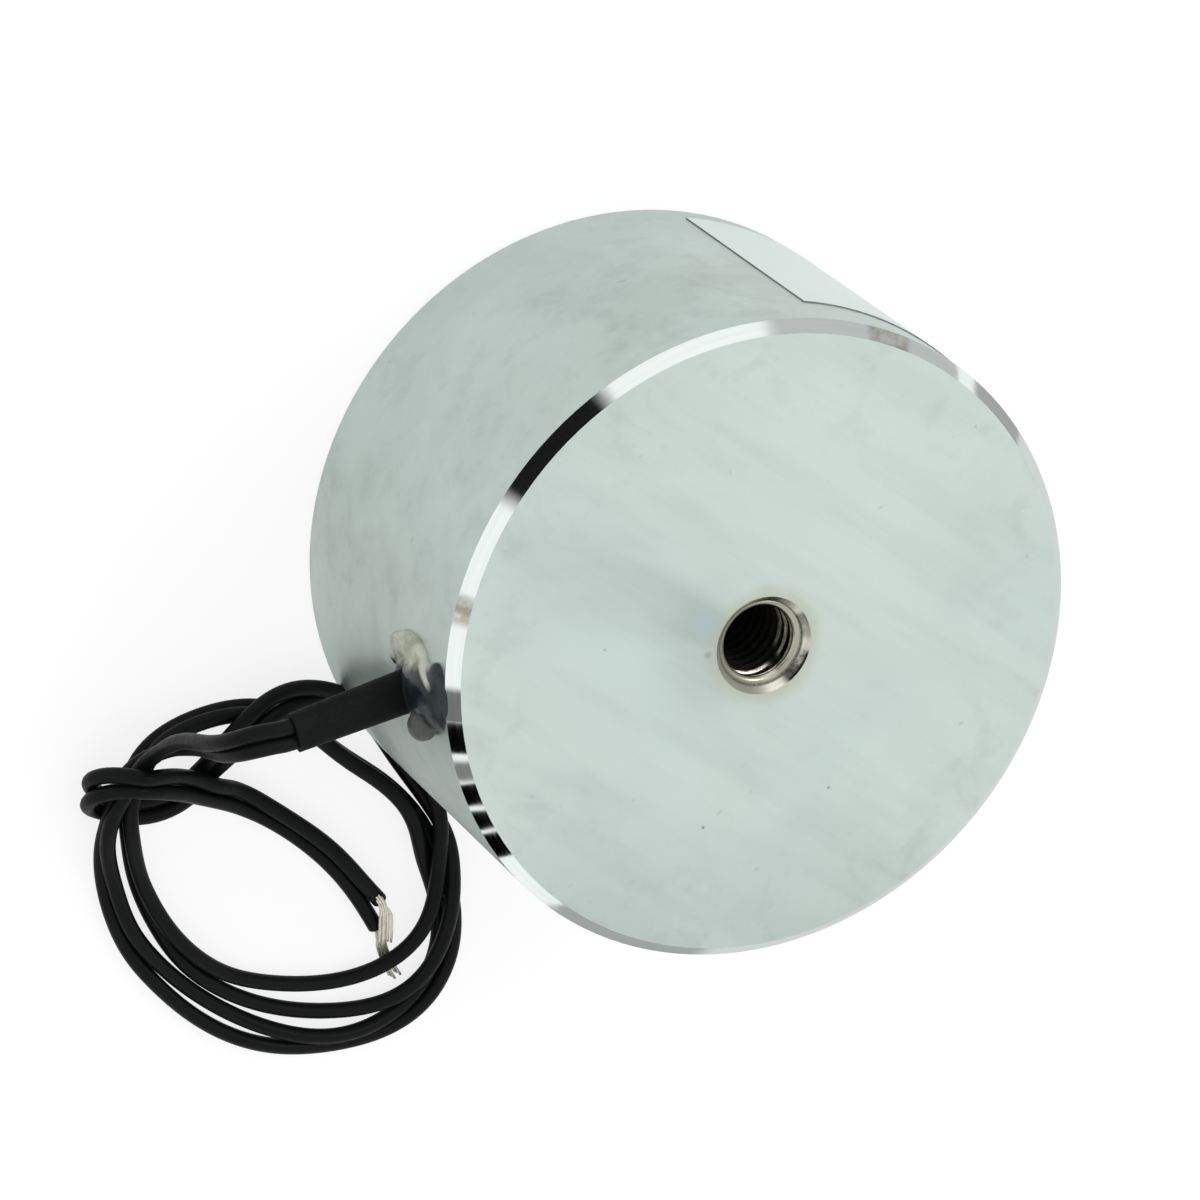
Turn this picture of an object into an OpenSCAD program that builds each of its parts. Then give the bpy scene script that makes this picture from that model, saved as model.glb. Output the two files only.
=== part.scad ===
// Round DC holding electromagnet, pot type, with one central tapped hole
// in its mounting face and two loose hook-up leads. It stands on its pole
// face. The origin is the centre of that face, and +Z runs up through the
// tapped hole. The leads leave the side of the pot along +X.

/* [Pot] */
// Outside diameter of the steel pot
pot_d = 60; // [54:1:72]
// Height from the pole face to the mounting face
pot_h = 34; // [32:1:44]
// Thickness of the pot's outer wall
wall_t = 4.5; // [3.5:0.1:6]
// Thickness of the closed back behind the winding
back_t = 6.4; // [6:0.1:6.6]
// Diameter of the solid centre core
core_d = 28; // [24:1:30]
// Bright chamfer round the mounting face
rim_chamfer = 1.05; // [0.4:0.05:1.5]
// Small chamfer round the ground pole face
pole_chamfer = 0.4; // [0.2:0.1:0.8]

/* [Tapped hole] */
// Nominal size of the mounting thread (8 is M8)
thread_d = 8; // [6:1:10]
// Full depth of thread from the mounting face
thread_depth = 14; // [10:1:18]
// Width of the countersink outside the thread
mouth_chamfer = 0.6; // [0.3:0.1:1]
// Included angle of the drill point below the thread
drill_angle = 118; // [110:1:125]

/* [Winding] */
// Thickness of the coil former's two flanges
flange_t = 1; // [0.8:0.1:1.4]
// Thickness of the coil former's hub
hub_t = 1; // [0.8:0.1:1.4]
// Free space between the former and the steel
former_gap = 0.3; // [0.1:0.05:0.5]
// Depth from the flange's edge down to the wound wire
winding_inset = 1.2; // [0.8:0.1:2]
// Thickness of the tape wrapped round the winding
tape_t = 0.3; // [0.2:0.05:0.5]
// Thickness of the potting that closes the pole side
potting_t = 2.9; // [2:0.1:4]
// How far the potting lies below the pole face
potting_recess = 0.3; // [0.2:0.1:0.6]
// Diameter of the enamelled wire ends
wire_d = 0.5; // [0.4:0.05:0.7]
// Free space round a wire end where it passes the flange
wire_gap = 0.25; // [0.15:0.05:0.4]

/* [Lead exit] */
// Distance from the mounting face down to the lead exit
exit_drop = 9; // [8.9:0.05:9.2]
// Diameter of the drilled exit hole
exit_hole_d = 5; // [4.8:0.1:5.1]
// Sideways turn of the sleeve away from the exit's own radius
sleeve_yaw = 7; // [0:1:9]
// Length of the sleeve outside the pot
sleeve_out = 11.4; // [8:0.2:11.6]
// Length of the sleeve inside the exit hole
sleeve_in = 2.5; // [1:0.1:3]
// Thickness of the sleeve round the leads at its free end
sleeve_t = 0.35; // [0.25:0.05:0.45]
// Extra thickness of the sleeve where it enters the pot
sleeve_swell = 0.25; // [0.1:0.05:0.3]

/* [Leads] */
// Outside diameter of each lead's insulation
lead_d = 1.5; // [1.3:0.05:1.6]
// Free space between the two leads
lead_gap = 0.03; // [0.02:0.01:0.06]
// Diameter of each lead's stranded conductor
conductor_d = 0.75; // [0.6:0.05:0.9]
// Length of lead between its bend inside the pot and its joint
inner_run = 6; // [5:0.5:6.5]
// Length of each soldered joint
joint_l = 3; // [2.5:0.1:3.4]
// Wall of the insulating sleeve over each joint
joint_sleeve_t = 0.3; // [0.2:0.05:0.35]
// Length of lead that each joint sleeve grips
joint_grip = 2; // [1.5:0.1:2.5]

/* [Glue bead] */
// How far the glue stands out from the pot's side
bead_h = 2.2; // [1.6:0.1:2.6]
// Length of the bead round the pot
bead_l = 10.5; // [9:0.5:12]
// Height of the bead along the pot's axis
bead_w = 8; // [7:0.2:8.4]
// Film of free space round what the glue was set on
bond_gap = 0.02; // [0.01:0.01:0.05]

/* [Label] */
// Height of the clear label
label_h = 25.2; // [20:0.2:27]
// Length of the label round the pot
label_l = 50; // [40:1:70]
// Thickness of the label
label_t = 0.12; // [0.08:0.02:0.2]
// Height of the label's lower edge above the pole face
label_z = 2.9; // [1.5:0.1:4]
// Direction of the label's first edge, from +X
label_start = -107; // [-120:1:-90]

/* [Coiled lead] */
// Radius of the coil's round ends, to the middle of its turns
coil_r = 12.2; // [11.5:0.1:12.4]
// Half the length of the coil's straight sides
coil_straight = 6; // [4:0.5:7]
// Width of the bundle of turns
coil_w = 4.6; // [4:0.1:4.6]
// Height of the bundle of turns
coil_h = 3; // [2.6:0.1:3]
// Chamfer that rounds the bundle's section
coil_chamfer = 0.7; // [0.4:0.1:1]
// Radius of the wrap that holds the coil together
knot_r = 4.2; // [3.8:0.1:4.2]
// Height of the wrap
knot_h = 6.3; // [5.6:0.1:6.6]

/* [Hidden] */
$fn = 96;

cut = 0.5;                                // overshoot of a cutting tool
pot_r = pot_d / 2;
bore_r = pot_r - wall_t;                  // inside of the outer wall
core_r = core_d / 2;
back_z = pot_h - back_t;                  // underside of the closed back
thread_r = thread_d / 2;
drill_tip = thread_r / tan(drill_angle / 2);

exit_z = pot_h - exit_drop;
lead_pitch = lead_d + lead_gap;           // between the two leads' axes
joint_sleeve_r = lead_d / 2 + joint_sleeve_t;

potting_top = potting_recess + potting_t;
flange_top = exit_z - joint_sleeve_r - lead_gap;   // joint sleeves lie here
hub_r = core_r + former_gap;
winding_r0 = hub_r + hub_t;
flange_r = bore_r - former_gap;
winding_r1 = flange_r - winding_inset;    // outside of the tape
winding_z0 = potting_top + flange_t;
winding_z1 = flange_top - flange_t;

// Drops that the bead flows together from: place along its length, height
// and radius, each as a share of its size
GLUE_DROPS = [[-0.62, 0.38, 0.32], [-0.3, 0.42, 0.42], [0.06, 0.4, 0.38], [-0.08, 0, 0.3]];

// Side 0 is lead a, side 1 is lead b
SIDES = [1, -1];
part_s = -wall_t - 1;                     // where the leads part, in the pot
bend_r = lead_d;                          // of a lead's middle, inside the pot
joint_end = inner_run + joint_l;          // from the bend to the wire end
wire_run = 1;                             // wire end before it turns down
// The winding starts near the hub, or as near as its joint reaches, and ends
// just inside the tape
wire_hole_r = [
    max(winding_r0 + 1.7, pot_r + part_s - 0.75 * (joint_end + wire_run)),
    winding_r1 - 0.4
];
web_r = lead_d / 4;                       // open way between the sleeve's bores

loose_pitch = lead_d + 0.1;               // between the loose leads' axes
butt = 0.03;                              // free space between two butted ends

// Routes, chosen by hand: x, y, z, direction and tilt of lead a from the
// middle of the pair. Lead b is as far on the other side. x is measured from
// the pot's side, and z of the drop is a share of the exit's height.
DROP = [
    [13.6, 1.5, 0.99, 95, 0], [15.8, 2.7, 0.89, 110, -5],
    [16.8, 4.4, 0.7, 125, -10], [17, 6, 0.5, 135, -20],
    [17.5, 7.8, 0.35, 140, -40], [17.8, 9, 0.27, 144, -60]
];
TAIL = [
    [16, 13.5, 4.8, 80, 5], [15.2, 13.9, 4.2, 65, 10],
    [13, 15.2, 2.9, 55, 20], [10.6, 16.9, 1.7, 52, 20],
    [8, 19, 1.3, 48, -30], [5.4, 21.3, 1.3, 45, -40],
    [2.8, 24, 1.3, 40, -40], [0.6, 26.8, 1.3, 35, -40],
    [-1.2, 29.8, 1.3, 32, -40]
];
// Ends of the insulation and of the bare strands, for each lead
INSULATION_END = [[-2.7, 34.6, 0.8], [-3.6, 31.3, 1.4]];
STRANDS = [
    [[-3.4, 37.2, 0.6], [-3.8, 38.5, 0.5]],
    [[-4.1, 34, 0.8], [-4.6, 36.7, 0.5]]
];
coil_at = [6.7, 27.1];
coil_turn = -45;
knot_at = [20.8, 13.4];
tube_sides = 8;

// --- Helpers ---------------------------------------------------------

// Frame of the sleeve: its axis runs along +X from the pot's side
module at_exit() translate([pot_r, 0, exit_z]) rotate([0, 0, sleeve_yaw]) children();

// A rod along +X from x0 to x1
module rod(r, x0, x1) translate([x0, 0, 0]) rotate([0, 90, 0]) cylinder(r = r, h = x1 - x0);

// Frame of one lead, mirrored for lead b, with +Y away from the other
module at_lead(i) at_exit() mirror([0, i, 0]) translate([0, lead_pitch / 2, 0]) children();

// Turn of a lead at its bend, which brings its wire end over its hole
function splay(i) =
    let (
        centre = [-pot_r * cos(sleeve_yaw) - part_s, SIDES[i] * pot_r * sin(sleeve_yaw) - lead_pitch / 2],
        reach = joint_end + wire_run
    ) acos((centre * centre + reach ^ 2 - wire_hole_r[i] ^ 2) / (2 * norm(centre) * reach))
        - atan(centre[1] / centre[0]);

// Frame of one lead after its bend inside the pot, +X towards its joint
module at_joint(i) at_lead(i) translate([part_s, 0, 0]) rotate([0, 0, 180 - splay(i)]) children();

// Turned ring with a rectangular section
module ring(r0, r1, z0, z1) translate([0, 0, z0]) difference() {
    cylinder(r = r1, h = z1 - z0);
    translate([0, 0, -cut]) cylinder(r = r0, h = z1 - z0 + 2 * cut);
}

function unit(v) = v / norm(v);
function heading(pts, k) = unit(pts[min(k + 1, len(pts) - 1)] - pts[max(k - 1, 0)]);

// Point on the sleeve's axis, x out from the pot's side
function on_axis(x) = [x * cos(sleeve_yaw), x * sin(sleeve_yaw), exit_z, 90 + sleeve_yaw, 0];

// The drop leaves along the sleeve's axis, then follows its own points
drop_route = concat(
    [on_axis(sleeve_out + butt), on_axis(sleeve_out + lead_d / 2)],
    [for (p = DROP) [p[0], p[1], p[2] * exit_z, p[3], p[4]]]
);

// Path of lead i beside the route, square to the way the route runs
function along(route, i) =
    let (mid = [for (p = route) [pot_r + p[0], p[1], p[2]]])
        [for (k = [0 : len(route) - 1])
            let (
                p = route[k],
                t = heading(mid, k),
                d = [cos(p[3]) * cos(p[4]), sin(p[3]) * cos(p[4]), sin(p[4])]
            ) mid[k] + SIDES[i] * loose_pitch / 2 * unit(d - (d * t) * t)];

function from_side(pts) = [for (p = pts) p + [pot_r, 0, 0]];

// Insulated end of lead i, and the bare strands that carry on from it
function tail_path(i) = concat(along(TAIL, i), from_side([INSULATION_END[i]]));
function strand_path(i) =
    let (path = tail_path(i), k = len(path) - 1, t = heading(path, k))
        concat([path[k] + butt * t, path[k] + conductor_d * t], from_side(STRANDS[i]));

// Tube swept along points, one ring of flat sides at each of them
module tube(pts, r) {
    n = len(pts);
    m = tube_sides;
    rings = [
        for (k = [0 : n - 1])
            let (t = heading(pts, k), u = unit(cross(t, [0.3, 0.2, 1])), v = cross(t, u))
                for (j = [0 : m - 1]) pts[k] + r * (cos(360 * j / m) * u + sin(360 * j / m) * v)
    ];
    sides = [
        for (k = [0 : n - 2], j = [0 : m - 1])
            let (a = k * m + j, b = k * m + (j + 1) % m)
                each [[a, b, a + m], [b, b + m, a + m]]
    ];
    ends = [[for (j = [m - 1 : -1 : 0]) j], [for (j = [0 : m - 1]) (n - 1) * m + j]];
    polyhedron(points = rings, faces = concat(sides, ends));
}

// --- Steel pot -------------------------------------------------------

// Pot, core and back turned from one bar, with the lead exit drilled
module pot_body() color("#c3ccca") difference() {
    rotate_extrude() polygon([
        [0, 0], [core_r - pole_chamfer, 0], [core_r, pole_chamfer], [core_r, back_z],
        [bore_r, back_z], [bore_r, pole_chamfer], [bore_r + pole_chamfer, 0],
        [pot_r - pole_chamfer, 0], [pot_r, pole_chamfer],
        [pot_r, pot_h - rim_chamfer], [pot_r - rim_chamfer, pot_h],
        [thread_r + mouth_chamfer, pot_h], [thread_r, pot_h - mouth_chamfer],
        [thread_r, pot_h - thread_depth], [0, pot_h - thread_depth - drill_tip]
    ]);
    translate([0, 0, exit_z]) rod(exit_hole_d / 2, bore_r - cut, pot_r + cut);
}

// --- Winding inside the pot -----------------------------------------

module wire_hole(i) at_joint(i) translate([joint_end + wire_run, 0, flange_top - exit_z - flange_t - cut])
    cylinder(d = wire_d + 2 * wire_gap, h = flange_t + 2 * cut, $fn = 24);

// Moulded former: a hub and two flanges, with a hole for each wire end
module bobbin() color("#e9e4d4") difference() {
    union() {
        ring(hub_r, winding_r0, potting_top, flange_top);
        ring(hub_r, flange_r, potting_top, winding_z0);
        ring(hub_r, flange_r, winding_z1, flange_top);
    }
    for (i = [0, 1]) wire_hole(i);
}

module winding() color("#a3552d") ring(winding_r0, winding_r1 - tape_t, winding_z0, winding_z1);

module winding_tape() color("#d9c25a") ring(winding_r1 - tape_t, winding_r1, winding_z0, winding_z1);

// Cast resin between the core and the wall, just below the pole face
module potting_ring() color("#26282b") ring(core_r, bore_r, potting_recess, potting_top);

// Enamelled wire from the winding up through the flange to its joint
module wire_end(i) color("#b5652f") at_joint(i) {
    rod(wire_d / 2, joint_end, joint_end + wire_run);
    translate([joint_end + wire_run, 0, 0]) sphere(d = wire_d, $fn = 24);
    translate([joint_end + wire_run, 0, winding_z1 - exit_z])
        cylinder(d = wire_d, h = exit_z - winding_z1, $fn = 24);
}

module solder_joint(i) color("#b9bcc0") at_joint(i) rod(conductor_d / 2, inner_run, joint_end);

// Shrunk sleeve over the end of the lead and its joint
module joint_sleeve(i) color("#8f1d1d") at_joint(i) difference() {
    rod(joint_sleeve_r, inner_run - joint_grip, joint_end);
    rod(lead_d / 2, inner_run - joint_grip - cut, inner_run);
    rod(conductor_d / 2, inner_run - cut, joint_end + cut);
}

// --- Leads at the exit ----------------------------------------------

// Straight through the sleeve and the wall, then bent away to its joint
function run_path(i) =
    let (turn = splay(i), set_back = bend_r * tan(turn / 2))
        concat(
            [[sleeve_out, 0, 0]],
            [for (k = [0 : 4]) let (a = turn * k / 4)
                [part_s + set_back - bend_r * sin(a), bend_r * (1 - cos(a)), 0]],
            [[part_s - inner_run * cos(turn), inner_run * sin(turn), 0]]
        );

module lead_run(i) color("#1b1c1e") at_lead(i) tube(run_path(i), lead_d / 2);

// Flat round-sided outline across the two leads, as a thin slice
module sleeve_slice(x, t) for (side = SIDES) translate([x, side * lead_pitch / 2, 0])
    rod(lead_d / 2 + t, 0, 0.01, $fn = 32);

// Outside of the sleeve, which narrows towards its free end
module sleeve_form(extra) at_exit() hull() {
    sleeve_slice(-sleeve_in - extra, sleeve_t + sleeve_swell + extra);
    sleeve_slice(sleeve_out - 0.01 + extra, sleeve_t + extra);
}

module exit_sleeve() color("#242527") difference() {
    sleeve_form(0);
    for (i = [0, 1]) at_lead(i) rod(lead_d / 2, -sleeve_in - cut, sleeve_out + cut);
    at_exit() rod(web_r, -sleeve_in - cut, sleeve_out + cut);
}

// One drop of the bead: place round the pot, height, radius
module drop_at(arc, z, r) rotate([0, 0, arc / pot_r * 180 / PI])
    translate([pot_r + bead_h - r, 0, z]) sphere(r = r, $fn = 28);

// Hot glue run round the sleeve, up to the rim chamfer
module glue_bead() color("#b9beb8") difference() {
    hull() {
        for (d = GLUE_DROPS) drop_at(d[0] * bead_l, exit_z + d[1] * bead_w, d[2] * bead_w);
    }
    cylinder(r = pot_r + bond_gap, h = pot_h);
    sleeve_form(bond_gap);
}

// --- Label -----------------------------------------------------------

// Plain clear film that follows the pot's side
module label_film() color("#dfe5e3") rotate([0, 0, label_start - label_l / pot_r * 180 / PI])
    rotate_extrude(angle = label_l / pot_r * 180 / PI) translate([pot_r, label_z]) square([label_t, label_h]);

// --- Loose leads -----------------------------------------------------

module lead_drop(i) color("#1b1c1e") tube(along(drop_route, i), lead_d / 2);

module lead_tail(i) color("#1b1c1e") tube(tail_path(i), lead_d / 2);

module strands(i) color("#c9cbcc") tube(strand_path(i), conductor_d / 2);

// Section of the bundle of turns, about its middle
module coil_section() polygon([
    [-coil_w / 2 + coil_chamfer, 0], [coil_w / 2 - coil_chamfer, 0],
    [coil_w / 2, coil_chamfer], [coil_w / 2, coil_h - coil_chamfer],
    [coil_w / 2 - coil_chamfer, coil_h], [-coil_w / 2 + coil_chamfer, coil_h],
    [-coil_w / 2, coil_h - coil_chamfer], [-coil_w / 2, coil_chamfer]
]);

// Long ring of turns, with the round wrap that ties it
module lead_coil() color("#1b1c1e") translate([pot_r, 0, 0]) {
    translate([coil_at[0], coil_at[1], 0]) rotate([0, 0, coil_turn]) for (end = SIDES) {
        translate([end * coil_straight, 0, 0]) rotate([0, 0, end * -90])
            rotate_extrude(angle = 180) translate([coil_r, 0]) coil_section();
        translate([-coil_straight, end * coil_r, 0]) rotate([90, 0, 90])
            linear_extrude(2 * coil_straight) coil_section();
    }
    translate([knot_at[0], knot_at[1], 0]) {
        cylinder(r = knot_r, h = knot_h - coil_chamfer);
        translate([0, 0, knot_h - coil_chamfer])
            cylinder(r1 = knot_r, r2 = knot_r - coil_chamfer, h = coil_chamfer);
    }
}

pot_body();
bobbin();
winding();
winding_tape();
potting_ring();
wire_end(0);  // wire_end_a
wire_end(1);  // wire_end_b
solder_joint(0);  // solder_joint_a
solder_joint(1);  // solder_joint_b
joint_sleeve(0);  // joint_sleeve_a
joint_sleeve(1);  // joint_sleeve_b
lead_run(0);  // lead_run_a
lead_run(1);  // lead_run_b
exit_sleeve();
glue_bead();
label_film();
lead_drop(0);  // lead_drop_a
lead_drop(1);  // lead_drop_b
lead_coil();
lead_tail(0);  // lead_tail_a
lead_tail(1);  // lead_tail_b
strands(0);  // strands_a
strands(1);  // strands_b
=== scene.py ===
"""Looks of a round pot-type holding electromagnet with two loose black leads.

Metres, in the CAD frame: the pole face's centre is the origin and +Z runs up
through the tapped hole. The leads leave along +X.
"""
import math

import bmesh
import bpy
import numpy as np
from mathutils import Matrix, Vector


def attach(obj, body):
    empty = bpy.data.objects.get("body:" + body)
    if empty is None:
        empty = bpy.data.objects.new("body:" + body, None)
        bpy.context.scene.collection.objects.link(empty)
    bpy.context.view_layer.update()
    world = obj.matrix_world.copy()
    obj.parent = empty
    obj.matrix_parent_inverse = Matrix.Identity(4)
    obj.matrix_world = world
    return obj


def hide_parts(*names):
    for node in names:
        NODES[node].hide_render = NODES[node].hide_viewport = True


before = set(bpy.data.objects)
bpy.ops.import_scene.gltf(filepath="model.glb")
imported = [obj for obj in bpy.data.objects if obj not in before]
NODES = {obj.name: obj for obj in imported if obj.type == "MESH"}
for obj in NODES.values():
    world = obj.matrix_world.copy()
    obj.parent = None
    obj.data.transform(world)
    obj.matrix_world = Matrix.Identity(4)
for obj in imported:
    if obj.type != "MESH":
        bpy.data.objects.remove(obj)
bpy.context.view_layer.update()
MM = 0.001

# Sizes of the part, in millimetres
POT_R, POT_H = 30.0, 34.0
EXIT_Z, SLEEVE_YAW, SLEEVE_OUT = 25.0, 7.0, 11.4
LEAD_D, LEAD_PITCH = 1.5, 1.53
THREAD_R, MOUTH_CHAMFER = 4.0, 0.6


# --- Camera ------------------------------------------------------------

camera_data = bpy.data.cameras.new("camera")
camera = bpy.data.objects.new("camera", camera_data)
bpy.context.scene.collection.objects.link(camera)
bpy.context.scene.camera = camera
camera_data.sensor_width = 36
camera_data.lens = 193.73
camera_data.clip_end = 20
RIGHT = Vector((-0.9135031, 0.07880766, 0.39912585))
UP = Vector((-0.22751306, -0.91226807, -0.34059475))
BACK = Vector((0.3372683, -0.4019407, 0.85128947))
pose = Matrix((RIGHT, UP, BACK)).transposed().to_4x4()
pose.translation = Vector((204.658, -234.038, 512.342)) * MM
camera.matrix_world = pose


# --- Leads ---------------------------------------------------------------

def on_axis(x):
    """Point on the sleeve's axis, x out from the pot's side."""
    a = math.radians(SLEEVE_YAW)
    return [x * math.cos(a), x * math.sin(a), EXIT_Z, 90 + SLEEVE_YAW, 0]


# Routes of the pair's middle, as in part.scad: x from the pot's side, y, z, then
# the direction and tilt of lead a from that middle. In DROP, z is a share of EXIT_Z.
DROP = [
    [13.6, 1.5, 0.99, 95, 0], [15.8, 2.7, 0.89, 110, -5],
    [16.8, 4.4, 0.7, 125, -10], [17, 6, 0.5, 135, -20],
    [17.5, 7.8, 0.35, 140, -40], [17.8, 9, 0.27, 144, -60],
]
TAIL = [
    [16, 13.5, 4.8, 80, 5], [15.2, 13.9, 4.2, 65, 10],
    [13, 15.2, 2.9, 55, 20], [10.6, 16.9, 1.7, 52, 20],
    [8, 19, 1.3, 48, -30], [5.4, 21.3, 1.3, 45, -40],
    [2.8, 24, 1.3, 40, -40], [0.6, 26.8, 1.3, 35, -40],
    [-1.2, 29.8, 1.3, 32, -40],
]
# Where each lead's insulation ends
INSULATION_END = [[-2.7, 34.6, 0.8], [-3.15, 31.7, 1.4]]
# Middle of the loose ring: x from the pot's side, y
RING_AT = (6.7, 27.1)
# Down into the ring
INTO_RING = [[19.2, 10.8, 5.4, 140, -75], [20.9, 13, 4, 130, -85], [22.3, 15.8, 2.9, 120, -80]]
# Round the ring: direction from its middle, then radius and height of each lead
TURNS = [
    [-20, (17.3, 0.8), (16.9, 2.2)], [5, (15.4, 0.8), (14.5, 1.8)],
    [30, (14.5, 0.8), (13, 0.9)], [55, (15, 0.8), (13.1, 0.8)],
    [80, (16.7, 0.8), (14.8, 1.1)], [105, (19, 0.8), (17.8, 1.7)],
    [130, (21.3, 0.8), (19.8, 0.8)], [150, (19.7, 0.8), (18.2, 0.8)],
    [170, (16.8, 0.8), (15.3, 0.8)], [190, (14.8, 0.8), (14.2, 2)],
    [215, (13.4, 0.8), (13.3, 2.2)], [240, (13.6, 0.8), (13.6, 2.2)],
    [256, (15.8, 0.8), (15.8, 2.2)], [275, (18, 0.8), (18, 2.2)],
    [294, (19.2, 0.8), (19.3, 2.3)], [308, (19.7, 1.8), (19.9, 3.3)],
    [318, (18.6, 2.3), (18.7, 3.8)], [328, (16.2, 2), (16.3, 3.5)],
    [340, (14.3, 0.9), (14.2, 2.3)], [365, (12, 0.8), (11.4, 2.1)],
    [390, (11.3, 0.8), (10.2, 1.6)], [415, (11.5, 0.8), (10, 1)],
    [440, (12.7, 0.8), (10.4, 0.8)], [465, (15.3, 0.9), (12.1, 0.8)],
    [490, (18.5, 1.8), (14.9, 1.2)], [510, (18.2, 2.3), (15.9, 2.3)],
    [530, (17.2, 2.3), (15.8, 2.4)], [550, (16.3, 0.9), (16.6, 2.3)],
    [575, (15.9, 0.8), (16.7, 1.9)], [590, (17.2, 0.8), (17.6, 2.2)],
    [602, (18.3, 1), (19, 2.2)], [614, (18.3, 1.8), (19.2, 2.4)],
]
# The knot: once under and over the ring
WRAP = [
    [5.8, 8.8, 3.1, 125, 0], [8.1, 9.7, 3.7, 130, 0], [10, 11.2, 3.6, 135, 0],
    [11.4, 13.1, 2.8, 140, 0], [12.9, 15.1, 1.8, 130, 0], [15, 16.4, 1, 110, 0],
    [17.8, 16.9, 0.8, 95, 0], [20.8, 16.2, 0.8, 80, 0], [22.8, 14.9, 1.3, 75, 0],
    [23.9, 13.1, 2.7, 80, 0], [23.7, 11.7, 4.4, 85, 0], [22.2, 11, 5.7, 85, 0],
    [19.6, 11.2, 6.3, 82, 0],
]


def ring(k):
    """Lead k's way round the loose ring."""
    rows = []
    for direction, *places in TURNS:
        a = math.radians(direction)
        r, z = places[k]
        rows.append([POT_R + RING_AT[0] + r * math.cos(a), RING_AT[1] + r * math.sin(a), z])
    return np.array(rows)


def beside(route, k):
    """Middle of lead k along a route of the pair."""
    p = np.array(route, float)
    p[:, 0] += POT_R
    s, t = np.radians(p[:, 3]), np.radians(p[:, 4])
    o = np.stack([np.cos(s) * np.cos(t), np.sin(s) * np.cos(t), np.sin(t)], 1)
    h = np.gradient(p[:, :3], axis=0)
    h /= np.linalg.norm(h, axis=1)[:, None]
    o -= (o * h).sum(1)[:, None] * h
    o /= np.linalg.norm(o, axis=1)[:, None]
    return p[:, :3] + (1, -1)[k] * o * LEAD_PITCH / 2


def through(points, n, samples=3000):
    """n + 1 evenly spaced points on a natural cubic spline through the given ones."""
    p = np.array(points, float)
    m = len(p)
    s = np.r_[0, np.cumsum(np.linalg.norm(np.diff(p, axis=0), axis=1))]
    h = np.diff(s)
    mat = np.zeros((m, m))
    rhs = np.zeros((m, 3))
    for i in range(1, m - 1):
        mat[i, i - 1:i + 2] = h[i - 1], 2 * (h[i - 1] + h[i]), h[i]
        rhs[i] = 6 * ((p[i + 1] - p[i]) / h[i] - (p[i] - p[i - 1]) / h[i - 1])
    mat[0, 0:2] = 1, -1
    mat[-1, -2:] = 1, -1
    c = np.linalg.solve(mat, rhs)
    u = np.linspace(0, s[-1], samples)
    i = np.clip(np.searchsorted(s, u, side="right") - 1, 0, m - 2)
    a, b = (s[i + 1] - u)[:, None], (u - s[i])[:, None]
    hi = h[i][:, None]
    q = (c[i] * a ** 3 + c[i + 1] * b ** 3) / (6 * hi)
    q += (p[i] / hi - c[i] * hi / 6) * a + (p[i + 1] / hi - c[i + 1] * hi / 6) * b
    d = np.r_[0, np.cumsum(np.linalg.norm(np.diff(q, axis=0), axis=1))]
    w = np.linspace(0, d[-1], n + 1)
    return np.stack([np.interp(w, d, q[:, j]) for j in range(3)], 1)


def lead_route(k):
    """Points of lead k from just inside the sleeve to the end of its insulation."""
    start = [on_axis(SLEEVE_OUT + x) for x in (-0.3, 0.03, LEAD_D / 2)]
    drop = [[x, y, share * EXIT_Z, way, tilt] for x, y, share, way, tilt in DROP]
    end = np.array(INSULATION_END[k]) + (POT_R, 0, 0)
    return np.vstack([beside(start + drop + INTO_RING, k), ring(k), beside(WRAP + TAIL, k), end])


def settle(leads, gap=1.54, rounds=900, pull=0.002, stiff=0.4):
    """Pushes the leads out of each other and off the floor, keeping them smooth.

    The first points of each lead are held by the sleeve. The list of near pairs
    is made again every few rounds and reaches a little past the gap.
    """
    held, neighbours, refresh, reach, share = 5, 8, 25, 0.6, 0.35
    n = len(leads[0])
    p = np.vstack(leads)
    home = p.copy()
    idx = np.arange(len(p))
    other = idx >= n
    free = np.ones((len(p), 1))
    free[:held] = free[n:n + held] = 0
    for k in range(rounds):
        if k % refresh == 0:
            r = np.sqrt(((p[:, None] - p[None]) ** 2).sum(-1))
            far = (other[:, None] != other[None]) | (idx[None] - idx[:, None] > neighbours)
            i, j = np.nonzero((r < gap + reach) & (idx[:, None] < idx[None]) & far)
        d = p[i] - p[j]
        r = np.linalg.norm(d, axis=1) + 1e-9
        over = np.maximum(0, gap - r)
        push = d / r[:, None] * over[:, None]
        force = np.zeros_like(p)
        np.add.at(force, i, push)
        np.add.at(force, j, -push)
        hits = np.bincount(np.r_[i[over > 0], j[over > 0]], minlength=len(p))
        p = p + free * force * share / np.maximum(1, hits)[:, None] ** 0.5
        for a, b in ((0, n), (n, len(p))):
            q = p[a:b]
            lap = np.zeros_like(q)
            lap[1:-1] = (q[:-2] + q[2:]) / 2 - q[1:-1]
            bend = np.zeros_like(q)
            bend[1:-1] = (lap[:-2] + lap[2:]) / 2 - lap[1:-1]
            p[a:b] = q - free[a:b] * stiff * bend
        p[:, 2] = np.where(free[:, 0] > 0, np.maximum(p[:, 2], LEAD_D / 2 + 0.01), p[:, 2])
        p = p + free * pull * (home - p)
    return [p[:n], p[n:]]


def link(obj):
    bpy.context.scene.collection.objects.link(obj)
    return obj


def frames(p):
    """Two directions square to the way a path runs, turning as little as they can."""
    h = np.gradient(p, axis=0)
    h /= np.linalg.norm(h, axis=1)[:, None]
    u = np.cross(h[0], (0.3, 0.2, 1))
    rows = []
    for t in h:
        u = u - (u @ t) * t
        u = u / np.linalg.norm(u)
        rows.append((u, np.cross(t, u)))
    return rows


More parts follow.
